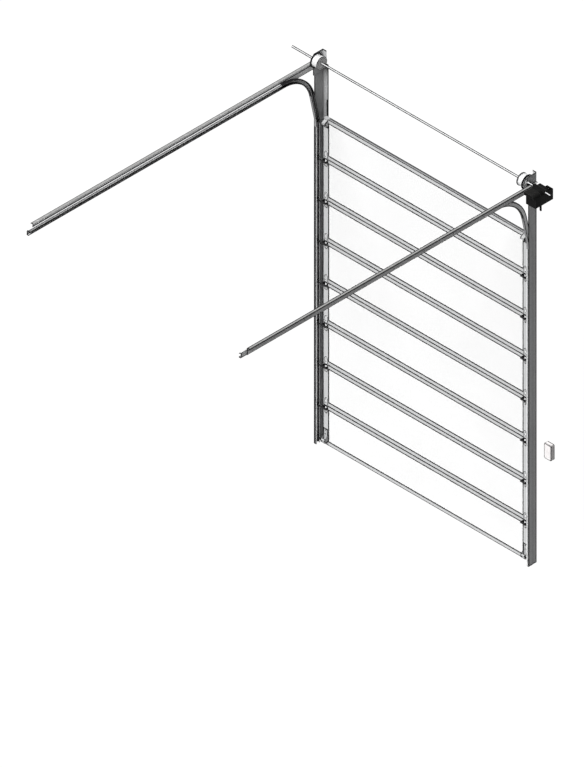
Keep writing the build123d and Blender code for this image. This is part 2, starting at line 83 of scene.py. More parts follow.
# Reliefs and small sizes of the added pieces, in metres
GASKET_RELIEF = 0.0026
SEAL_RELIEF = 0.0012
END_SCREW = (0.0045, 0.0045, 0.0045)
PLATE_BOLT = (0.011, 0.011, 0.008)
TRACK_RIVET = (0.007, 0.007, 0.006)
COVER_SCREW = (0.005, 0.005, 0.004)
LID_SCREW = (0.0035, 0.0035, 0.002)

# Places of the added screws, bolts and rivets, in metres
LOWER_LEAF_DROPS = (0.057, 0.081)
UPPER_LEAF_RISES = (0.032, 0.078)
TOP_BRACKET_RISES = (0.010, 0.026)
BOTTOM_BRACKET_INSET = 0.030
BOTTOM_BRACKET_RISE, BOTTOM_BRACKET_DROP = 0.09, 0.02
END_SCREW_OFFSET = 0.020
COVER_SCREW_INSET, COVER_SCREW_RISE = 0.012, 0.105
LID_SCREW_INSET, LID_SCREW_DROP = 0.012, 0.014
PLATE_BOLT_DEPTHS = (-0.035, -0.095)
LEG_BOLT_RISE, SEAT_BOLT_RISE = 0.028, 0.095
UPRIGHT_RIVETS = [0.18 + 0.6 * step for step in range(7)]
LEVEL_RIVETS = [-0.33 - 0.42 * step for step in range(9)]

# Studio
FLOOR_RADIUS = 14.0
FLOOR_TONE = (0.18, 0.18, 0.18, 1.0)
FLOOR_GLOW = 1.25
FLOOR_GLOW_SHARE = 0.8
KEY_TOWARDS, KEY_SPREAD = (0.0, -0.67, 0.74), 35
STREET_TOWARDS, STREET_SPREAD = (0.0, 1.0, 0.0), 4
VIEW_FROM = (1.0, -1.0, 1.0)
VIEW_DISTANCE = 20
WHITE = (1.0, 1.0, 1.0, 1.0)


def joint_levels():
    """Heights of the seven joints between the sections."""
    boxes = [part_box(name) for name in SECTIONS]
    return [(low[1].z + high[0].z) / 2 for low, high in zip(boxes, boxes[1:])]


# Sizes and colours that a user would change
def colour_field(name, tone, description):
    return bpy.props.FloatVectorProperty(name=name, description=description, subtype="COLOR",
                                         size=4, min=0.0, max=1.0, default=tone + (1.0,))


def length_field(name, metres, description, least=0.0):
    return bpy.props.FloatProperty(name=name, description=description, unit="LENGTH",
                                   min=least, default=metres)


def strength_field(name, amount, description):
    return bpy.props.FloatProperty(name=name, description=description, min=0.0, default=amount)


class FinishSettings(bpy.types.PropertyGroup):
    zinc: colour_field("Zinc", (0.50, 0.505, 0.51), "Galvanised wall angles and bearing plates")
    track: colour_field("Track", (0.85, 0.855, 0.86), "Galvanised tracks")
    rail_angle: colour_field("Rail angle", (0.85, 0.855, 0.86), "Galvanised horizontal angles")
    plate: colour_field("Hinge plate", (0.80, 0.805, 0.81), "Plates of the hinges")
    holder: colour_field("Roller holder", (0.015, 0.015, 0.016), "Holders, knuckles and roller stems")
    bright: colour_field("Bright steel", (0.85, 0.855, 0.86), "Shaft, bearings and bolts")
    rubber: colour_field("Rubber", (0.012, 0.012, 0.012), "Seals and gaskets")
    cast: colour_field("Cast aluminium", (0.85, 0.855, 0.86), "Cable drums")
    nylon: colour_field("Nylon", (0.03, 0.03, 0.03), "Roller wheels")
    panel: colour_field("Panel", (0.93, 0.93, 0.93), "White fields of the sections")
    rail: colour_field("Rail", (0.58, 0.585, 0.59), "Grey rails and stiles of the sections")
    case: colour_field("Gear case", (0.006, 0.006, 0.006), "Painted case and bracket of the operator")
    cover: colour_field("Cover", (0.006, 0.006, 0.006), "Moulded cover and lever of the operator")
    box: colour_field("Control box", (0.95, 0.92, 0.92), "Moulded control box")
    edge: length_field("Edge line", 0.013, "Half of the width of the line along an outline")


class SizeSettings(bpy.types.PropertyGroup):
    gasket: length_field("Gasket", 0.0125, "Width of the gasket round a white field", 0.001)
    joint_seal: length_field("Joint seal", 0.0065, "Height of each seal lip along a section joint",
                             0.001)
    joint_gap: length_field("Joint gap", 0.0015, "Gap between two sections")
    screw: length_field("Screw head", 0.008, "Radius of the hinge screws' flange", 0.001)
    hinge_width: length_field("Hinge width", PLATE_WIDTH, "Width of a hinge plate, screwed at its middle")
    hinge_plate: length_field("Hinge plate", 0.003, "Thickness of a hinge plate")
    sheet: length_field("Sheet", 0.003, "Thickness of the wall angle's sheet")


class StageSettings(bpy.types.PropertyGroup):
    view_height: length_field("View height", 7.632, "Height of the camera's parallel view")
    look_at: bpy.props.FloatVectorProperty(name="Look at", subtype="TRANSLATION", size=3,
                                           default=(1.0286, -1.5014, 1.948),
                                           description="Point in the middle of the view")
    key: strength_field("Key light", 4.35, "Strength of the key light from the room side")
    street: strength_field("Street light", 2.2, "Strength of the light that reaches the outside")
    ambient: strength_field("Ambient", 0.11, "Strength of the light that comes from all round")


# Small helpers for node trees
def place_node(tree, kind, **values):
    """Adds a node, and sets its options and its unlinked inputs by name."""
    node = tree.nodes.new(kind)
    for name, value in values.items():
        if hasattr(node, name):
            setattr(node, name, value)
            continue
        label = name.replace("_", " ").lower()
        next(socket for socket in node.inputs if socket.name.lower() == label).default_value = value
    node.location = (180 * len(tree.nodes), 0)
    return node


def feed(tree, value, socket):
    """Links an output to a socket, or sets the socket to a plain value."""
    if isinstance(value, bpy.types.NodeSocket):
        tree.links.new(value, socket)
    else:
        socket.default_value = value


def join(tree, source, output, target, entry):
    tree.links.new(source.outputs[output], target.inputs[entry])


def calculate(tree, operation, *values):
    """Result of a Math node, whose inputs are numbers or outputs."""
    node = place_node(tree, "ShaderNodeMath", operation=operation)
    for socket, value in zip(node.inputs, values):
        feed(tree, value, socket)
    return node.outputs[0]


def vectors(tree, operation, *values):
    """Result of a Vector Math node, which is a number for a dot product or a length."""
    node = place_node(tree, "ShaderNodeVectorMath", operation=operation)
    for socket, value in zip(node.inputs, values):
        feed(tree, value, socket)
    return node.outputs["Value" if operation in ("DOT_PRODUCT", "LENGTH") else "Vector"]


def scaled(tree, vector, factor):
    node = place_node(tree, "ShaderNodeVectorMath", operation="SCALE")
    feed(tree, vector, node.inputs[0])
    feed(tree, factor, node.inputs["Scale"])
    return node.outputs["Vector"]


def remapped(tree, value, **limits):
    """Result of a clamped Map Range node."""
    node = place_node(tree, "ShaderNodeMapRange", **limits)
    feed(tree, value, node.inputs["Value"])
    return node.outputs["Result"]


def object_coords(tree):
    return place_node(tree, "ShaderNodeTexCoord").outputs["Object"]


def normal(tree, kind="Normal"):
    return place_node(tree, "ShaderNodeNewGeometry").outputs[kind]


def axis_of(tree, vector, axis):
    """The X, Y or Z of a vector."""
    node = place_node(tree, "ShaderNodeSeparateXYZ")
    feed(tree, vector, node.inputs[0])
    return node.outputs[axis]


def effect_group(name, entries, results):
    """An empty shader group with named sockets, its given values and its results."""
    group = bpy.data.node_groups.new(name, "ShaderNodeTree")
    for label, kind, value in entries:
        socket = group.interface.new_socket(label, in_out="INPUT", socket_type=kind)
        socket.default_value = value
    for label, kind in results:
        group.interface.new_socket(label, in_out="OUTPUT", socket_type=kind)
    given, result = group.nodes.new("NodeGroupInput"), group.nodes.new("NodeGroupOutput")
    return group, given.outputs, result.inputs


FLOAT, COLOUR, VECTOR = "NodeSocketFloat", "NodeSocketColor", "NodeSocketVector"
LIMITS = [("Above", FLOAT, -1.0), ("Below", FLOAT, 100.0)]


def noise_chain(tree, size, coords, detail=4.0):
    """Noise whose pattern size in metres comes from an output."""
    noise = place_node(tree, "ShaderNodeTexNoise", Detail=detail)
    feed(tree, coords, noise.inputs["Vector"])
    feed(tree, calculate(tree, "DIVIDE", 1.0, size), noise.inputs["Scale"])
    return noise.outputs["Fac"]


def drift_group():
    """Slow change of tone over a surface."""
    group, given, result = effect_group(
        "Tone drift", [("Colour", COLOUR, (1, 1, 1, 1)), ("Amount", FLOAT, 0.1),
                       ("Size", FLOAT, 0.3)], [("Colour", COLOUR)])
    noise = noise_chain(group, given["Size"], object_coords(group))
    spread = remapped(group, noise, From_Min=0.3, From_Max=0.7)
    loss = calculate(group, "MULTIPLY", spread, given["Amount"])
    keep = calculate(group, "SUBTRACT", 1.0, loss)
    feed(group, scaled(group, given["Colour"], keep), result["Colour"])
    return group


def edge_group():
    """Mask along the edges of sheet and bar, where the rounded normal leaves the plain one."""
    group, given, result = effect_group(
        "Edge line", [("Width", FLOAT, 0.004), ("Strength", FLOAT, 0.6)], [("Mask", FLOAT)])
    soft = place_node(group, "ShaderNodeBevel", samples=6)
    feed(group, given["Width"], soft.inputs["Radius"])
    match = vectors(group, "DOT_PRODUCT", soft.outputs["Normal"], normal(group))
    spread = remapped(group, match, From_Min=0.9995, From_Max=0.965)
    feed(group, calculate(group, "MULTIPLY", spread, given["Strength"]), result["Mask"])
    return group


def limited(group, coords, given, mask):
    """Keeps a mask between two heights."""
    height = axis_of(group, coords, "Z")
    above = calculate(group, "GREATER_THAN", height, given["Above"])
    below = calculate(group, "LESS_THAN", height, given["Below"])
    return calculate(group, "MULTIPLY", calculate(group, "MULTIPLY", above, below), mask)


def rule_group():
    """Straight line along a member, on the faces that lie beside the measured direction.

    The line can repeat at a pitch."""
    group, given, result = effect_group(
        "Ruled line", [("Along", VECTOR, (0, 1, 0)), ("Place", FLOAT, 0.0),
                       ("Half", FLOAT, 0.005)] + LIMITS + [("Pitch", FLOAT, 100.0)],
        [("Mask", FLOAT)])
    coords = object_coords(group)
    measure = vectors(group, "DOT_PRODUCT", coords, given["Along"])
    offset = calculate(group, "SUBTRACT", measure, given["Place"])
    ends = [calculate(group, "MULTIPLY", given["Pitch"], share) for share in (0.5, -0.5)]
    wrapped = calculate(group, "WRAP", offset, *ends)
    near = calculate(group, "COMPARE", wrapped, 0.0, given["Half"])
    facing = vectors(group, "DOT_PRODUCT", normal(group, "True Normal"), given["Along"])
    beside = calculate(group, "LESS_THAN", calculate(group, "ABSOLUTE", facing), 0.5)
    mask = calculate(group, "MULTIPLY", near, beside)
    feed(group, limited(group, coords, given, mask), result["Mask"])
    return group


def ring_group():
    """Round line about an axis along X."""
    group, given, result = effect_group(
        "Ring line", [("Centre", VECTOR, (0, 0, 0)), ("Radius", FLOAT, 0.1),
                      ("Half", FLOAT, 0.005)] + LIMITS, [("Mask", FLOAT)])
    coords = object_coords(group)
    offset = vectors(group, "SUBTRACT", coords, given["Centre"])
    reach = vectors(group, "LENGTH", vectors(group, "MULTIPLY", offset, (0.0, 1.0, 1.0)))
    near = calculate(group, "COMPARE", reach, given["Radius"], given["Half"])
    feed(group, limited(group, coords, given, near), result["Mask"])
    return group


def spangle_group():
    """Crystals of hot-dip zinc."""
    group, given, result = effect_group(
        "Zinc spangle", [("Colour", COLOUR, (0.5, 0.5, 0.5, 1)), ("Amount", FLOAT, 0.12),
                         ("Cell", FLOAT, 0.012), ("Roughness", FLOAT, 0.45),
                         ("Spread", FLOAT, 0.14)],
        [("Colour", COLOUR), ("Roughness", FLOAT), ("Height", FLOAT)])
    cells = place_node(group, "ShaderNodeTexVoronoi")
    feed(group, object_coords(group), cells.inputs["Vector"])
    feed(group, calculate(group, "DIVIDE", 1.0, given["Cell"]), cells.inputs["Scale"])
    crystal = place_node(group, "ShaderNodeSeparateColor")
    join(group, cells, "Color", crystal, "Color")
    spread = remapped(group, crystal.outputs["Red"], To_Min=-1.0, To_Max=1.0)
    amount = calculate(group, "MULTIPLY_ADD", spread, given["Amount"], 1.0)
    rough = calculate(group, "MULTIPLY_ADD", crystal.outputs["Green"], given["Spread"],
                      given["Roughness"])
    feed(group, scaled(group, given["Colour"], amount), result["Colour"])
    feed(group, rough, result["Roughness"])
    feed(group, cells.outputs["Distance"], result["Height"])
    return group


def grain_group():
    """Fine grain, stretched along one direction for brushed or drawn metal."""
    group, given, result = effect_group(
        "Surface grain", [("Stretch", VECTOR, (1, 1, 1)), ("Size", FLOAT, 0.001),
                          ("Roughness", FLOAT, 0.4), ("Spread", FLOAT, 0.1)],
        [("Roughness", FLOAT), ("Height", FLOAT)])
    coords = vectors(group, "MULTIPLY", object_coords(group), given["Stretch"])
    noise = noise_chain(group, given["Size"], coords, detail=2.0)
    rough = calculate(group, "MULTIPLY_ADD", noise, given["Spread"], given["Roughness"])
    feed(group, rough, result["Roughness"])
    feed(group, noise, result["Height"])
    return group


def dust_group():
    """Thin dust that settles on faces which look up; laid on heavy, the same mask is painted shade that
    darkens the top faces.
    """
    group, given, result = effect_group(
        "Settled dust", [("Amount", FLOAT, 0.3), ("Size", FLOAT, 0.05)], [("Mask", FLOAT)])
    noise = noise_chain(group, given["Size"], object_coords(group))
    up = remapped(group, axis_of(group, normal(group), "Z"), From_Min=0.4, From_Max=1.0)
    patch = calculate(group, "MULTIPLY", noise, up)
    feed(group, calculate(group, "MULTIPLY", patch, given["Amount"]), result["Mask"])
    return group


# Materials: each one is built from the shared effects with its own values
EFFECTS = {}
MATERIALS = {}
INK = (0.01, 0.01, 0.011, 1.0)
SHADE = (0.27, 0.27, 0.275, 1.0)
ZINC_EDGE = (0.03, 0.03, 0.035, 1.0)
METAL_EDGE = (0.04, 0.04, 0.045, 1.0)
PAINT_EDGE = (0.06, 0.06, 0.065, 1.0)
PLASTIC_EDGE = (0.3, 0.3, 0.3, 1.0)
PALE_DUST = (0.62, 0.60, 0.56, 1.0)
# Painted shade: grey laid through the dust mask on the top faces of the horizontal angles
TOP_SHADE_GREY = (0.38, 0.38, 0.375, 1.0)
PLASTIC_DUST = (0.35, 0.34, 0.32, 1.0)
ALONG_X = (0.05, 1.0, 1.0)
NO_STRETCH = (1.0, 1.0, 1.0)


def effect(tree, name, **values):
    """A shared effect with its own values."""
    node = tree.nodes.new("ShaderNodeGroup")
    node.node_tree = EFFECTS[name]
    for label, value in values.items():
        node.inputs[label].default_value = value
    node.location = (180 * len(tree.nodes), 0)
    return node


def shader_tree(name, metallic=0.0, coat=0.0, gloss=0.5):
    material = bpy.data.materials.new(name)
    material.use_nodes = True
    tree = material.node_tree
    shader = next(node for node in tree.nodes if node.type == "BSDF_PRINCIPLED")
    shader.inputs["Metallic"].default_value = metallic
    shader.inputs["Coat Weight"].default_value = coat
    shader.inputs["Specular IOR Level"].default_value = gloss
    return material, tree, shader


def blend(tree, mask, base, over):
    """Lays a plain colour over a linked colour where the mask is."""
    mix = place_node(tree, "ShaderNodeMix", data_type="RGBA")
    for value, socket in ((mask, 0), (base, 6), (over, 7)):
        feed(tree, value, mix.inputs[socket])
    return mix.outputs[2]


def surface(tree, shader, tone, relief, distance, strength):
    """Gives the shader its colour, and the roughness and height of an effect."""
    bump = place_node(tree, "ShaderNodeBump", Distance=distance, Strength=strength)
    join(tree, relief, "Height", bump, "Height")
    join(tree, bump, "Normal", shader, "Normal")
    join(tree, relief, "Roughness", shader, "Roughness")
    feed(tree, tone, shader.inputs["Base Color"])


def inked(tree, lines, tone, ink=INK):
    """Darkens a linked colour along lines, each given as an effect's name and its values."""
    masks = [effect(tree, kind, **values).outputs["Mask"] for kind, values in lines]
    if not masks:
        return tone
    mask = masks[0]
    for other in masks[1:]:
        mask = calculate(tree, "MAXIMUM", mask, other)
    return blend(tree, mask, tone, ink)


def ruled(axis, place, half, **limits):
    """One straight line for inked(), across X, Y, Z or a given direction."""
    along = {"X": (1, 0, 0), "Y": (0, 1, 0), "Z": (0, 0, 1)}.get(axis, axis)
    return "rule", dict(Along=along, Place=place, Half=half, **limits)


def ringed(centre, radius, half, **limits):
    """One round line for inked(), about an axis along X."""
    return "ring", dict(Centre=centre, Radius=radius, Half=half, **limits)


def zinc_material(name, colour, edge_width=0.003, edge_strength=0.6, cell=0.012, lines=(),
                  shades=(), dusty=0.10, dust_tone=PALE_DUST):
    """Galvanised steel with crystals, dark lines along its edges and dust on top; a heavy amount of that
    dust is painted shade on the top faces.
    """
    material, tree, shader = shader_tree(name, metallic=0.05, gloss=0.12)
    drift = effect(tree, "drift", Colour=colour, Amount=0.10, Size=0.45)
    zinc = effect(tree, "spangle", Amount=0.07, Cell=cell, Roughness=0.42)
    join(tree, drift, "Colour", zinc, "Colour")
    edge = effect(tree, "edge", Width=edge_width, Strength=edge_strength)
    # Dust on faces that look up; at a heavy amount it is painted shade on the top faces
    dust = effect(tree, "dust", Amount=dusty, Size=0.06)
    tone = blend(tree, edge.outputs["Mask"], zinc.outputs["Colour"], ZINC_EDGE)
    tone = blend(tree, dust.outputs["Mask"], tone, dust_tone)
    tone = inked(tree, shades, tone, SHADE)
    tone = inked(tree, lines, tone)
    surface(tree, shader, tone, zinc, distance=0.0002, strength=0.35)
    return material


def hinge_material(name, plate, holder, split, lines):
    """Zinc plate on the leaf, and black holders and knuckles on the room side of the split."""
    material, tree, shader = shader_tree(name, metallic=0.05, gloss=0.12)
    zinc = effect(tree, "spangle", Colour=plate, Amount=0.06, Cell=0.006, Roughness=0.45)
    edge = effect(tree, "edge", Width=0.004, Strength=0.9)
    tone = blend(tree, edge.outputs["Mask"], zinc.outputs["Colour"], METAL_EDGE)
    depth = axis_of(tree, object_coords(tree), "Y")
    room_side = calculate(tree, "LESS_THAN", depth, split)
    tone = inked(tree, lines, tone)
    tone = blend(tree, room_side, tone, tuple(holder))
    surface(tree, shader, tone, zinc, distance=0.0001, strength=0.3)
    return material


def drawn_metal(name, colour, stretch=ALONG_X, roughness=0.30, metallic=0.05, edge=0.35,
                size=0.0012, rim_width=0.003, lines=(), turned=False):
    """Drawn, extruded or turned metal with its grain along one direction."""
    material, tree, shader = shader_tree(name, metallic=metallic, gloss=0.05)
    drift = effect(tree, "drift", Colour=colour, Amount=0.08, Size=0.25)
    grain = effect(tree, "grain", Stretch=stretch, Size=size, Roughness=roughness, Spread=0.18)
    rim = effect(tree, "edge", Width=rim_width, Strength=edge)
    tone = blend(tree, rim.outputs["Mask"], drift.outputs["Colour"], METAL_EDGE)
    tone = inked(tree, lines, tone)
    if turned:
        # Painted shade: the two sides of a round bar, where it turns away from the camera, go dark, and a
        # pale band stays along its middle
        side = place_node(tree, "ShaderNodeLayerWeight", Blend=0.5)
        dark = remapped(tree, side.outputs["Facing"], From_Min=0.18, From_Max=0.27)
        tone = blend(tree, dark, tone, INK)
    surface(tree, shader, tone, grain, distance=0.0001, strength=0.4)
    return material


def coated_steel(name, colour, grain_size=0.0035, edge_width=0.003, edge_strength=0.5,
                 depth=0.00025, coat=0.08, gloss=0.5, lines=()):
    """Painted steel or aluminium with an embossed or orange-peel surface."""
    material, tree, shader = shader_tree(name, coat=coat, gloss=gloss)
    drift = effect(tree, "drift", Colour=colour, Amount=0.035, Size=0.8)
    grain = effect(tree, "grain", Size=grain_size, Roughness=0.38, Spread=0.12)
    rim = effect(tree, "edge", Width=edge_width, Strength=edge_strength)
    tone = blend(tree, rim.outputs["Mask"], drift.outputs["Colour"], PAINT_EDGE)
    tone = inked(tree, lines, tone)
    surface(tree, shader, tone, grain, distance=depth, strength=0.4)
    return material


def moulded(name, colour, roughness, edge=0.0, gloss=0.25, lines=()):
    """Moulded plastic or rubber with a fine matt grain."""
    material, tree, shader = shader_tree(name, gloss=gloss)
    drift = effect(tree, "drift", Colour=colour, Amount=0.10, Size=0.08)
    grain = effect(tree, "grain", Size=0.0011, Roughness=roughness, Spread=0.15)
    rim = effect(tree, "edge", Width=0.0025, Strength=edge)
    dust = effect(tree, "dust", Amount=0.05, Size=0.03)
    tone = blend(tree, rim.outputs["Mask"], drift.outputs["Colour"], PLASTIC_EDGE)
    tone = blend(tree, dust.outputs["Mask"], tone, PLASTIC_DUST)
    tone = inked(tree, lines, tone)
    surface(tree, shader, tone, grain, distance=0.0002, strength=0.5)
    return material


def both(name):
    return ["left_" + name, "right_" + name]


# Lines that stand for the outlines of each part; half is half of a line's width
def angle_lines(side, half):
    """Lines along the edges of one wall angle, heavy only where an edge is in plain view."""
    low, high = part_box(side + "_wall_angle")
    free_edge, leg_edge = (low.x, high.x) if side == "right" else (high.x, low.x)
    wall_line = 1.2 * half if side == "right" else 0.3 * half
    return [ruled("Y", low.y, half), ruled("Y", high.y, wall_line), ruled("Z", high.z, half),
            ruled("Z", low.z, half), ruled("X", free_edge, half), ruled("X", leg_edge, 0.3 * half)]


def angle_shades(side, half):
    """The flange beside the left leg, which the track keeps in the shade."""
    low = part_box(side + "_wall_angle")[0]
    return [ruled("X", low.x + 1.1 * half, 1.1 * half)] if side == "left" else []


def vertical_track_lines(side, half):
    """Dark front on the left, and on the right only where the track meets the leg."""
    low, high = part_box(side + "_vertical_track")
    return [ruled("X", high.x, 0.8 * half)] if side == "right" else [ruled("X", low.x, 2.5 * half)]


def horizontal_track_lines(side, half):
    """Lines along the edges of one horizontal track."""
    low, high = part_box(side + "_horizontal_track")
    lines = [ruled("X", high.x, half), ruled("Z", low.z, half), ruled("Y", low.y, half)]
    return lines + [ruled("Z", high.z, half / 2)] if side == "right" else lines


def bend_centre(side):
    """Centre of the bend of one curved track, and the height where its straight lean ends."""
    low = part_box(side + "_curved_track")[0]
    level_low, level_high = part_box(side + "_horizontal_track")
    centre = (0.0, low.y + CURVE_TAIL, (level_low.z + level_high.z) / 2 - CURVE_RADIUS)
    return centre, centre[2] + CURVE_RADIUS * math.sin(INCLINE)


def curved_track_lines(side, half):
    """Lines that follow the edges of the curved track round its bend."""
    level_low, level_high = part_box(side + "_horizontal_track")
    width = level_high.z - level_low.z
    centre, start = bend_centre(side)
    lean = (0.0, math.cos(INCLINE), math.sin(INCLINE))
    middle = lean[1] * centre[1] + lean[2] * centre[2] + CURVE_RADIUS
    lines = []
    for step in (-width / 2, width / 2):
        lines.append(ringed(centre, CURVE_RADIUS + step, half, Above=start))
        lines.append(ruled(lean, middle + step, half, Below=start))
    return lines


def curved_track_shades(side, half):
    """The leaning front of the curved track."""
    low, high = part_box(side + "_curved_track")
    return [ruled("X", (low.x + high.x) / 2, 2 * half, Below=bend_centre(side)[1])]


def rail_angle_lines(side, half):
    """Lines along the edges of one horizontal angle, and along the track beside its web."""
    low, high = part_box(side + "_horizontal_angle")
    track_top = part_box(side + "_horizontal_track")[1].z
    lines = [ruled("Z", low.z, half / 2), ruled("Y", low.y, half)]
    if side == "left":
        return lines + [ruled("X", low.x, half / 2), ruled("Z", track_top + half / 2, half / 2)]
    return lines + [ruled("X", low.x, half), ruled("Z", high.z, half),
                    ruled("Z", track_top - half / 2, half / 2)]


def bracket_lines(name, half):
    """Lines along the outlines of the left and right bracket."""
    low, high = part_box(name)
    edges = (low.x, low.x + BRACKET_WIDTH, high.x - BRACKET_WIDTH, high.x)
    return [ruled("X", edge, 0.8 * half) for edge in edges] + [
        ruled("Z", low.z, half), ruled("Z", high.z, half)]


def plate_lines(side, half):
    """Lines along the two edges of one bearing plate that are in plain view."""
    low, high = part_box(side + "_bearing_plate")
    return [ruled("Y", low.y, half), ruled("Z", high.z, half)]


def hinge_lines(half):
    """Lines round the plates of the side hinges, which repeat at every section."""
    low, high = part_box("side_hinges")
    middles = (low.x + BRACKET_WIDTH / 2, high.x - BRACKET_WIDTH / 2)
    return [ruled("X", middle + step, half) for middle in middles
            for step in (-PLATE_WIDTH / 2, PLATE_WIDTH / 2)] + [
        ruled("Z", low.z + step, half, Pitch=SECTION_PITCH) for step in (0.0, PLATE_HEIGHT)]


def box_lines(half):
    """Lines along the edges of the control box and its lid."""
    lid_low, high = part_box("control_box_lid")
    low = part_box("control_box")[0]
    return [ruled(axis, place, half) for axis, place in
            (("X", lid_low.x), ("X", high.x), ("Y", lid_low.y), ("Y", 0.0), ("Z", low.z),
             ("Z", high.z))]


def drum_lines(side, half):
    """Dark rims of one cable drum."""
    low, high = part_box(side + "_cable_drum")
    centre = (0.0, (low.y + high.y) / 2, (low.z + high.z) / 2)
    rim = (high.z - low.z) / 2
    inner_end = low.x if side == "right" else high.x
    return [ringed(centre, rim - half / 2, 0.75 * half), ruled("X", inner_end, 1.2 * half)]


def top_rail_lines(half):
    """Lines along the top edges of the leaf."""
    low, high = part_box("top_section_rails")
    return [ruled("Y", high.y, half), ruled("Y", low.y, 0.7 * half), ruled("Z", high.z, 0.4 * half)]


def side_materials(side, look):
    """The finishes whose lines differ between the left and the right."""
    line = look.edge
    track = dict(colour=look.track, edge_width=0.002, edge_strength=0.3, cell=0.010)
    return {
        side + "_wall_angle": zinc_material(
            "Wall angle zinc " + side, look.zinc, cell=0.014, lines=angle_lines(side, line),
            shades=angle_shades(side, line)),
        side + "_vertical_track": zinc_material(
            "Track zinc " + side, lines=vertical_track_lines(side, line), **track),
        side + "_horizontal_track": zinc_material(
            "Rail zinc " + side, lines=horizontal_track_lines(side, line), **track),
        side + "_curved_track": zinc_material(
            "Bend zinc " + side, lines=curved_track_lines(side, line),
            shades=curved_track_shades(side, line), **track),
        # Painted shade: a heavy grey coat through the dust mask darkens the top faces of these angles
        side + "_horizontal_angle": zinc_material(
            "Rail angle zinc " + side, look.rail_angle, edge_strength=0.3,
            lines=rail_angle_lines(side, line), dusty=2.5, dust_tone=TOP_SHADE_GREY),
        side + "_bearing_plate": zinc_material(
            "Bearing plate zinc " + side, look.zinc, lines=plate_lines(side, line)),
        side + "_cable_drum": drawn_metal(
            "Drum aluminium " + side, look.cast, stretch=NO_STRETCH, roughness=0.42, edge=0.3,
            size=0.002, rim_width=0.002, lines=drum_lines(side, line)),
    }


def shared_materials(look):
    """The finishes that the two sides share."""
    line = look.edge
    bracket = dict(colour=look.zinc, edge_width=0.006, edge_strength=0.9, cell=0.006)
    rail = dict(colour=look.rail, grain_size=0.0020, edge_strength=0.8, depth=0.0001)
    foot_line = ruled("Z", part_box("section_rails")[0].z, 0.7 * line)
    return dict(
        small_zinc=zinc_material("Rivet zinc", look.zinc, edge_width=0.002, edge_strength=0.8,
                                 cell=0.006),
        bottom_bracket=zinc_material("Bottom bracket zinc",
                                     lines=bracket_lines("bottom_brackets", line), **bracket),
        top_bracket=zinc_material("Top bracket zinc", lines=bracket_lines("top_brackets", line),
                                  **bracket),
        hinge=hinge_material("Hinge zinc", look.plate, look.holder, INNER_FACE - HOLDER_START,
                             hinge_lines(0.65 * line)),
        holder=drawn_metal("Holder steel", look.holder, roughness=0.40, metallic=0.2, edge=0.0),
        bright_steel=drawn_metal("Shaft steel", look.bright, turned=True),
        rail=coated_steel("Rail paint", edge_width=0.008, lines=[foot_line], **rail),
        top_rail=coated_steel("Top rail paint", edge_width=0.006, lines=top_rail_lines(line), **rail),
        panel=coated_steel("Panel paint", look.panel),
        case=coated_steel("Housing paint", look.case, grain_size=0.0015, edge_width=0.002,
                          edge_strength=0.0, coat=0.0, gloss=0.04),
        cover=moulded("Cover plastic", look.cover, roughness=0.5, edge=0.15, gloss=0.04),
        rubber=moulded("Seal rubber", look.rubber, roughness=0.62, gloss=0.08),
        nylon=moulded("Wheel nylon", look.nylon, roughness=0.40),
        box=moulded("Box plastic", look.box, roughness=0.45, edge=0.3, gloss=0.1,
                    lines=box_lines(0.7 * line)))


# Parts of the frame by the shared finish that they get
USERS = {
    "hinge": ["side_hinges", "top_hinge_leaves"],
    "bottom_bracket": ["bottom_brackets"],
    "top_bracket": ["top_brackets"],
    "bright_steel": ["drive_shaft"] + both("shaft_bearing"),
    "holder": ["roller_stems", "top_roller_stems"],
    "rail": ["section_rails", "section_stiles", "top_section_stiles"],
    "top_rail": ["top_section_rails"],
    "panel": SECTIONS,
    "case": ["operator_gear_case", "operator_bracket"],
    "cover": ["operator_front_cover", "operator_release_lever"],
    "rubber": both("side_seal") + ["floor_seal"],
    "nylon": ["roller_wheels", "top_roller_wheels"],
    "box": ["control_box", "control_box_lid"],
}


class DOOR_OT_finishes(bpy.types.Operator):
    """Build the finishes and put them on every part of the frame"""
    bl_idname = "door.finishes"
    bl_label = "Finishes"

    def execute(self, context):
        look = context.scene.door_finish
        EFFECTS.update(drift=drift_group(), edge=edge_group(), spangle=spangle_group(),
                       grain=grain_group(), dust=dust_group(), rule=rule_group(), ring=ring_group())
        finish_of = {name: material for material, names in USERS.items() for name in names}
        for side in ("left", "right"):
            own = side_materials(side, look)
            MATERIALS.update(own)
            finish_of.update({name: name for name in own})
        MATERIALS.update(shared_materials(look))
        if set(finish_of) != set(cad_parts):
            raise RuntimeError("not one finish each: %s" % sorted(set(finish_of) ^ set(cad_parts)))
        for name, material in finish_of.items():
            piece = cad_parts[name]
            piece.data.materials.clear()
            piece.data.materials.append(MATERIALS[material])
        return {"FINISHED"}


# Shapes that are set in place many times
def shape_object(name, build):
    """A small shape at the origin, used by the modifier and then removed."""
    mesh = bpy.data.meshes.new(name)
    shape = bmesh.new()
    build(shape)
    bmesh.ops.remove_doubles(shape, verts=shape.verts, dist=1e-6)
    bmesh.ops.recalc_face_normals(shape, faces=shape.faces)
    shape.to_mesh(mesh)
    shape.free()
    return bpy.data.objects.new(name, mesh)


def turned_profile(shape, profile, sides):
    """Turns (radius, height) points about Z and closes both ends."""
    rings = []
    for radius, height in profile:
        ring = []
        for step in range(sides):
            angle = 2 * math.pi * step / sides
            ring.append(shape.verts.new((radius * math.cos(angle), radius * math.sin(angle), height)))
        rings.append(ring)
    for lower, upper in zip(rings, rings[1:]):
        for step in range(sides):
            after = (step + 1) % sides
            shape.faces.new((lower[step], lower[after], upper[after], upper[step]))
    shape.faces.new(rings[0][::-1])
    shape.faces.new(rings[-1])


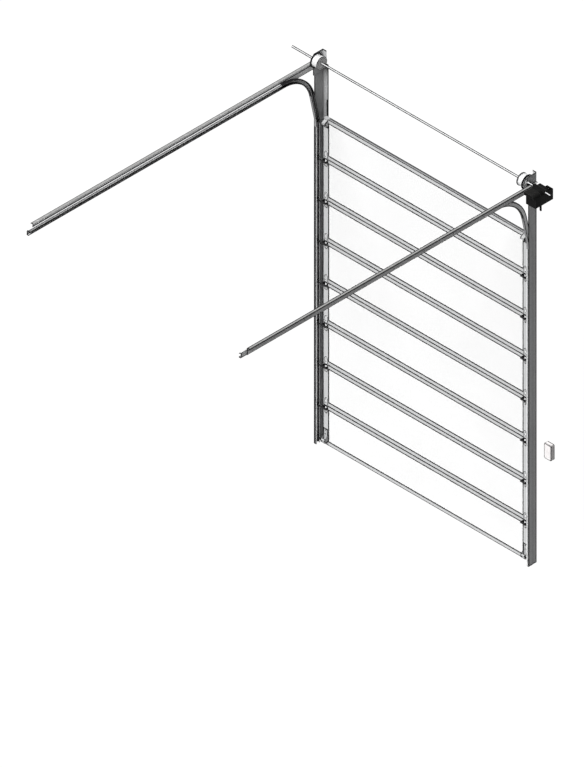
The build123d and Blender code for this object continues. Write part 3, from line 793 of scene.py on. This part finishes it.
def hex_head(shape):
    turned_profile(shape, ((1.0, 0.0), (1.0, 0.16), (0.80, 0.24)), 16)
    turned_profile(shape, ((0.72, 0.20), (0.72, 0.78), (0.60, 0.86)), 6)


def dome_head(shape):
    turned_profile(shape, ((1.0, 0.0), (0.95, 0.22), (0.70, 0.45), (0.30, 0.55)), 12)


def bead_profile(shape):
    """A unit length of gasket with a rounded front, standing out along Z."""
    outline = ((-0.5, 0.0), (-0.5, 0.55), (-0.3, 0.9), (0.0, 1.0), (0.3, 0.9), (0.5, 0.55), (0.5, 0.0))
    ends = [[shape.verts.new((x, y, z)) for y, z in outline] for x in (-0.5, 0.5)]
    count = len(outline)
    for step in range(count):
        after = (step + 1) % count
        shape.faces.new((ends[0][step], ends[0][after], ends[1][after], ends[1][step]))
    shape.faces.new(ends[0])
    shape.faces.new(ends[1][::-1])


def placing_tree():
    """Geometry Nodes tree that sets one shape on every point of a mesh."""
    tree = bpy.data.node_groups.new("Set in place", "GeometryNodeTree")
    face = tree.interface
    face.new_socket("Points", in_out="INPUT", socket_type="NodeSocketGeometry")
    face.new_socket("Shape", in_out="INPUT", socket_type="NodeSocketObject")
    face.new_socket("Size", in_out="INPUT", socket_type="NodeSocketVector")
    face.new_socket("Finish", in_out="INPUT", socket_type="NodeSocketMaterial")
    face.new_socket("Pieces", in_out="OUTPUT", socket_type="NodeSocketGeometry")
    entry = tree.nodes.new("NodeGroupInput")
    result = tree.nodes.new("NodeGroupOutput")
    source = place_node(tree, "GeometryNodeObjectInfo", transform_space="ORIGINAL")
    join(tree, entry, "Shape", source, "Object")
    turn, reach = [place_node(tree, "GeometryNodeInputNamedAttribute", data_type="FLOAT_VECTOR",
                              Name=name) for name in ("turn", "reach")]
    size = vectors(tree, "MULTIPLY", entry.outputs["Size"], reach.outputs["Attribute"])
    spread = place_node(tree, "GeometryNodeInstanceOnPoints")
    join(tree, entry, "Points", spread, "Points")
    join(tree, source, "Geometry", spread, "Instance")
    angles = place_node(tree, "FunctionNodeEulerToRotation")
    join(tree, turn, "Attribute", angles, 0)
    join(tree, angles, 0, spread, "Rotation")
    feed(tree, size, spread.inputs["Scale"])
    solid = place_node(tree, "GeometryNodeRealizeInstances")
    join(tree, spread, "Instances", solid, "Geometry")
    finish = place_node(tree, "GeometryNodeSetMaterial")
    join(tree, solid, "Geometry", finish, "Geometry")
    join(tree, entry, "Finish", finish, "Material")
    join(tree, finish, "Geometry", result, "Pieces")
    return tree


TREES = {}
# Turns from +Z to the way that a face looks
TO_ROOM = (math.pi / 2, 0, 0)
TO_STREET = (-math.pi / 2, 0, 0)
TO_RIGHT = (0, math.pi / 2, 0)
TO_LEFT = (0, -math.pi / 2, 0)
PLAIN = (1.0, 1.0, 1.0)
FACES = ((INNER_FACE, TO_ROOM), (OUTER_FACE, TO_STREET))


def set_in_place(name, build, size, places, material, body):
    """Sets a shape at each (point, turn, reach), and makes the result one piece on a body."""
    if "place" not in TREES:
        TREES["place"] = placing_tree()
    tree = TREES["place"]
    shape = shape_object(name + "_shape", build)
    points = bpy.data.meshes.new(name + "_points")
    points.from_pydata([tuple(place[0]) for place in places], [], [])
    for label, index in (("turn", 1), ("reach", 2)):
        data = points.attributes.new(label, "FLOAT_VECTOR", "POINT").data
        for entry, place in zip(data, places):
            entry.vector = place[index]
    holder = bpy.data.objects.new(name + "_points", points)
    bpy.context.scene.collection.objects.link(holder)
    modifier = holder.modifiers.new("Set in place", "NODES")
    modifier.node_group = tree
    values = {"Shape": shape, "Size": size, "Finish": MATERIALS[material]}
    for socket in tree.interface.items_tree:
        if socket.in_out == "INPUT" and socket.name in values:
            modifier[socket.identifier] = values[socket.name]
    holder.update_tag()
    bpy.context.view_layer.update()
    seen = holder.evaluated_get(bpy.context.evaluated_depsgraph_get())
    mesh = bpy.data.meshes.new_from_object(seen)
    holder.modifiers.clear()
    bpy.data.objects.remove(holder)
    bpy.data.objects.remove(shape)
    if not mesh.polygons:
        raise RuntimeError("nothing was set in place for " + name)
    mesh.name = name
    piece = bpy.data.objects.new(name, mesh)
    bpy.context.scene.collection.objects.link(piece)
    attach(piece, body)
    return piece


def bead_round(low, high, face, turn, width):
    """Four gasket lengths just inside a rectangle on a face that looks along Y."""
    middle = (low + high) / 2
    across, tall = high.x - low.x, high.z - low.z
    upright = (turn[0], math.pi / 2, 0) if turn == TO_ROOM else (turn[0], -math.pi / 2, 0)
    return [((middle.x, face, low.z + width / 2), turn, (across, 1, 1)),
            ((middle.x, face, high.z - width / 2), turn, (across, 1, 1)),
            ((low.x + width / 2, face, middle.z), upright, (tall, 1, 1)),
            ((high.x - width / 2, face, middle.z), upright, (tall, 1, 1))]


class DOOR_OT_gaskets(bpy.types.Operator):
    """Lay the black gaskets round the white fields and the seals along the section joints"""
    bl_idname = "door.gaskets"
    bl_label = "Gaskets and joint seals"

    def execute(self, context):
        sizes = context.scene.door_sizes
        for body, names in (("leaf", SECTIONS[:-1]), ("top_section", SECTIONS[-1:])):
            places = []
            for name in names:
                field_low, field_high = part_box(name)
                places += bead_round(field_low, field_high, field_low.y, TO_ROOM, sizes.gasket)
                places += bead_round(field_low, field_high, field_high.y, TO_STREET, sizes.gasket)
            set_in_place(body + "_gaskets", bead_profile, (1.0, sizes.gasket, GASKET_RELIEF), places,
                         "rubber", body)
        below, above = [], []
        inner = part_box("section_2")
        length = inner[1].x - inner[0].x
        for level in joint_levels():
            for face, turn in FACES:
                lower = (MIDDLE_X, face, level - sizes.joint_gap / 2 - sizes.joint_seal / 2)
                upper = (MIDDLE_X, face, level + sizes.joint_gap / 2 + sizes.joint_seal / 2)
                below.append((lower, turn, (length, 1, 1)))
                above.append((upper, turn, (length, 1, 1)))
        bead = (1.0, sizes.joint_seal, SEAL_RELIEF)
        set_in_place("leaf_joint_seals", bead_profile, bead, below + above[:-2], "rubber", "leaf")
        set_in_place("top_joint_seal", bead_profile, bead, above[-2:], "rubber", "top_section")
        return {"FINISHED"}


class DOOR_OT_leaf_screws(bpy.types.Operator):
    """Set the screws of the hinges, the brackets and the section ends"""
    bl_idname = "door.leaf_screws"
    bl_label = "Leaf screws"

    def execute(self, context):
        sizes = context.scene.door_sizes
        half = sizes.hinge_width / 2
        columns = (HINGES_LOW.x + half, HINGES_HIGH.x - half)
        face = INNER_FACE - sizes.hinge_plate
        levels = joint_levels()
        leaf, top = [], []
        for x in columns:
            for level in levels:
                leaf += [((x, face, level - drop), TO_ROOM, PLAIN) for drop in LOWER_LEAF_DROPS]
                upper = leaf if level != levels[-1] else top
                upper += [((x, face, level + rise), TO_ROOM, PLAIN) for rise in UPPER_LEAF_RISES]
            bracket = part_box("top_brackets")[0].z
            top += [((x, face, bracket + rise), TO_ROOM, PLAIN) for rise in TOP_BRACKET_RISES]
        low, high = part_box("bottom_brackets")
        for x in (low.x + BOTTOM_BRACKET_INSET, high.x - BOTTOM_BRACKET_INSET):
            leaf += [((x, face, z), TO_ROOM, PLAIN)
                     for z in (low.z + BOTTOM_BRACKET_RISE, high.z - BOTTOM_BRACKET_DROP)]
        size = (sizes.screw, sizes.screw, sizes.screw)
        set_in_place("leaf_screws", hex_head, size, leaf, "bright_steel", "leaf")
        set_in_place("top_section_screws", hex_head, size, top, "bright_steel", "top_section")
        ends, top_ends = [], []
        for name in SECTIONS:
            field_low, field_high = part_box(name)
            places = top_ends if name == SECTIONS[-1] else ends
            for x in (field_low.x - END_SCREW_OFFSET, field_high.x + END_SCREW_OFFSET):
                for z in (field_low.z - END_SCREW_OFFSET, field_high.z + END_SCREW_OFFSET):
                    # The foot rail runs on under the stiles, so it has no end screws
                    if name != SECTIONS[0] or z > field_low.z:
                        places += [((x, face, z), turn, PLAIN) for face, turn in FACES]
        set_in_place("section_end_screws", dome_head, END_SCREW, ends, "small_zinc", "leaf")
        set_in_place("top_end_screws", dome_head, END_SCREW, top_ends, "small_zinc", "top_section")
        return {"FINISHED"}


class DOOR_OT_frame_bolts(bpy.types.Operator):
    """Set the bolts and rivets that join the tracks, angles and bearing plates"""
    bl_idname = "door.frame_bolts"
    bl_label = "Frame bolts"

    def execute(self, context):
        sizes = context.scene.door_sizes
        bolts, rivets = [], []
        for side, turn in (("left", TO_LEFT), ("right", TO_RIGHT)):
            leg_low, leg_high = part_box(side + "_wall_angle")
            track_low, track_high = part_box(side + "_vertical_track")
            level_low, level_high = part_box(side + "_horizontal_track")
            seat = leg_high.x if side == "right" else leg_low.x
            leg = seat - sizes.sheet if side == "right" else seat + sizes.sheet
            track_y = (track_low.y + track_high.y) / 2
            level_z = (level_low.z + level_high.z) / 2
            plate_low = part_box(side + "_bearing_plate")[0].z
            for y in PLATE_BOLT_DEPTHS:
                bolts.append(((leg, y, plate_low + LEG_BOLT_RISE), turn, PLAIN))
                bolts.append(((seat, y, plate_low + SEAT_BOLT_RISE), turn, PLAIN))
            rivets += [((seat, track_y, z), turn, PLAIN) for z in UPRIGHT_RIVETS]
            rivets += [((seat, y, level_z), turn, PLAIN) for y in LEVEL_RIVETS]
        set_in_place("plate_bolts", hex_head, PLATE_BOLT, bolts, "bright_steel", "frame")
        set_in_place("track_rivets", dome_head, TRACK_RIVET, rivets, "small_zinc", "frame")
        return {"FINISHED"}


class DOOR_OT_operator_parts(bpy.types.Operator):
    """Add the screws of the operator's cover and of the control box's lid"""
    bl_idname = "door.operator_parts"
    bl_label = "Operator and control box screws"

    def execute(self, context):
        low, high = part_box("operator_front_cover")
        screws = [((x, low.y + COVER_STEP, z), TO_ROOM, PLAIN)
                  for x in (low.x + COVER_SCREW_INSET, high.x - COVER_SCREW_INSET)
                  for z in (low.z + COVER_SCREW_INSET, low.z + COVER_SCREW_RISE)]
        set_in_place("operator_screws", dome_head, COVER_SCREW, screws, "case", "frame")
        low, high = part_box("control_box_lid")
        screws = [((x, low.y, z), TO_ROOM, PLAIN)
                  for x in (low.x + LID_SCREW_INSET, high.x - LID_SCREW_INSET)
                  for z in (low.z + LID_SCREW_DROP, high.z - LID_SCREW_DROP)]
        set_in_place("control_box_screws", dome_head, LID_SCREW, screws, "box", "frame")
        return {"FINISHED"}


def seen_plainly(tree):
    """1 for rays from the camera or a gloss, and 0 for the rays that light the door."""
    path = place_node(tree, "ShaderNodeLightPath")
    return calculate(tree, "MAXIMUM", path.outputs["Is Camera Ray"], path.outputs["Is Glossy Ray"])


def floor_material():
    """A pale surface that the camera sees as white and that still takes a soft shadow."""
    material = bpy.data.materials.new("Floor")
    material.use_nodes = True
    tree = material.node_tree
    tree.nodes.clear()
    drift = effect(tree, "drift", Colour=FLOOR_TONE, Amount=0.02, Size=1.5)
    matt = place_node(tree, "ShaderNodeBsdfDiffuse")
    join(tree, drift, "Colour", matt, "Color")
    glow = place_node(tree, "ShaderNodeEmission", Color=WHITE, Strength=FLOOR_GLOW)
    mix = place_node(tree, "ShaderNodeMixShader")
    feed(tree, calculate(tree, "MULTIPLY", seen_plainly(tree), FLOOR_GLOW_SHARE), mix.inputs[0])
    join(tree, matt, 0, mix, 1)
    join(tree, glow, 0, mix, 2)
    out = place_node(tree, "ShaderNodeOutputMaterial")
    join(tree, mix, 0, out, "Surface")
    return material


def make_surroundings(ambient):
    """White to the camera, and a dim even light on the door."""
    world = bpy.data.worlds.new("Studio")
    world.use_nodes = True
    tree = world.node_tree
    tree.nodes.clear()
    level = remapped(tree, seen_plainly(tree), To_Min=ambient, To_Max=1.0)
    sky = place_node(tree, "ShaderNodeBackground", Color=WHITE)
    feed(tree, level, sky.inputs["Strength"])
    out = place_node(tree, "ShaderNodeOutputWorld")
    join(tree, sky, 0, out, "Surface")
    return world


class DOOR_OT_stage(bpy.types.Operator):
    """Make the floor, the lights, the surroundings and the camera"""
    bl_idname = "door.stage"
    bl_label = "Studio"

    def execute(self, context):
        stage = context.scene.door_stage
        scene = context.scene
        scene.view_settings.view_transform = "Standard"
        low, high = cad_box
        middle = (low + high) / 2
        mesh = bpy.data.meshes.new("floor")
        shape = bmesh.new()
        bmesh.ops.create_circle(shape, cap_ends=True, radius=FLOOR_RADIUS, segments=64)
        bmesh.ops.translate(shape, verts=shape.verts, vec=(middle.x, middle.y, low.z - 0.001))
        shape.to_mesh(mesh)
        shape.free()
        floor = bpy.data.objects.new("floor", mesh)
        scene.collection.objects.link(floor)
        mesh.materials.append(floor_material())

        scene.world = make_surroundings(stage.ambient)
        for name, energy, spread, towards in (
                ("Key", stage.key, KEY_SPREAD, KEY_TOWARDS),
                ("Street", stage.street, STREET_SPREAD, STREET_TOWARDS)):
            lamp = bpy.data.lights.new(name, "SUN")
            lamp.energy = energy
            lamp.angle = math.radians(spread)
            sun = bpy.data.objects.new(name, lamp)
            scene.collection.objects.link(sun)
            sun.rotation_mode = "QUATERNION"
            sun.rotation_quaternion = Vector(towards).to_track_quat("Z", "Y")

        view = bpy.data.cameras.new("Camera")
        view.type = "ORTHO"
        view.ortho_scale = stage.view_height
        view.clip_start = 0.1
        view.clip_end = 60.0
        camera = bpy.data.objects.new("Camera", view)
        scene.collection.objects.link(camera)
        back = Vector(VIEW_FROM).normalized()
        camera.rotation_mode = "QUATERNION"
        camera.location = Vector(stage.look_at) + back * VIEW_DISTANCE
        camera.rotation_quaternion = (-back).to_track_quat("-Z", "Y")
        scene.camera = camera
        return {"FINISHED"}


OPERATORS = (DOOR_OT_finishes, DOOR_OT_gaskets, DOOR_OT_leaf_screws, DOOR_OT_frame_bolts,
             DOOR_OT_operator_parts, DOOR_OT_stage)


class DOOR_PT_panel(bpy.types.Panel):
    bl_label = "Garage door"
    bl_idname = "DOOR_PT_panel"
    bl_space_type = "VIEW_3D"
    bl_region_type = "UI"
    bl_category = "Garage door"

    def draw(self, context):
        scene = context.scene
        for settings in (scene.door_finish, scene.door_sizes, scene.door_stage):
            column = self.layout.column()
            for name in settings.bl_rna.properties.keys():
                if name not in ("rna_type", "name"):
                    column.prop(settings, name)
        for operator in OPERATORS:
            self.layout.operator(operator.bl_idname)


CLASSES = (FinishSettings, SizeSettings, StageSettings) + OPERATORS + (DOOR_PT_panel,)


def register():
    for item in CLASSES:
        bpy.utils.register_class(item)
    bpy.types.Scene.door_finish = bpy.props.PointerProperty(type=FinishSettings)
    bpy.types.Scene.door_sizes = bpy.props.PointerProperty(type=SizeSettings)
    bpy.types.Scene.door_stage = bpy.props.PointerProperty(type=StageSettings)


def unregister():
    del bpy.types.Scene.door_stage
    del bpy.types.Scene.door_sizes
    del bpy.types.Scene.door_finish
    for item in reversed(CLASSES):
        bpy.utils.unregister_class(item)


def main():
    register()
    bpy.ops.door.finishes()
    bpy.ops.door.gaskets()
    bpy.ops.door.leaf_screws()
    bpy.ops.door.frame_bolts()
    bpy.ops.door.operator_parts()
    bpy.ops.door.stage()


if __name__ == "__main__":
    main()
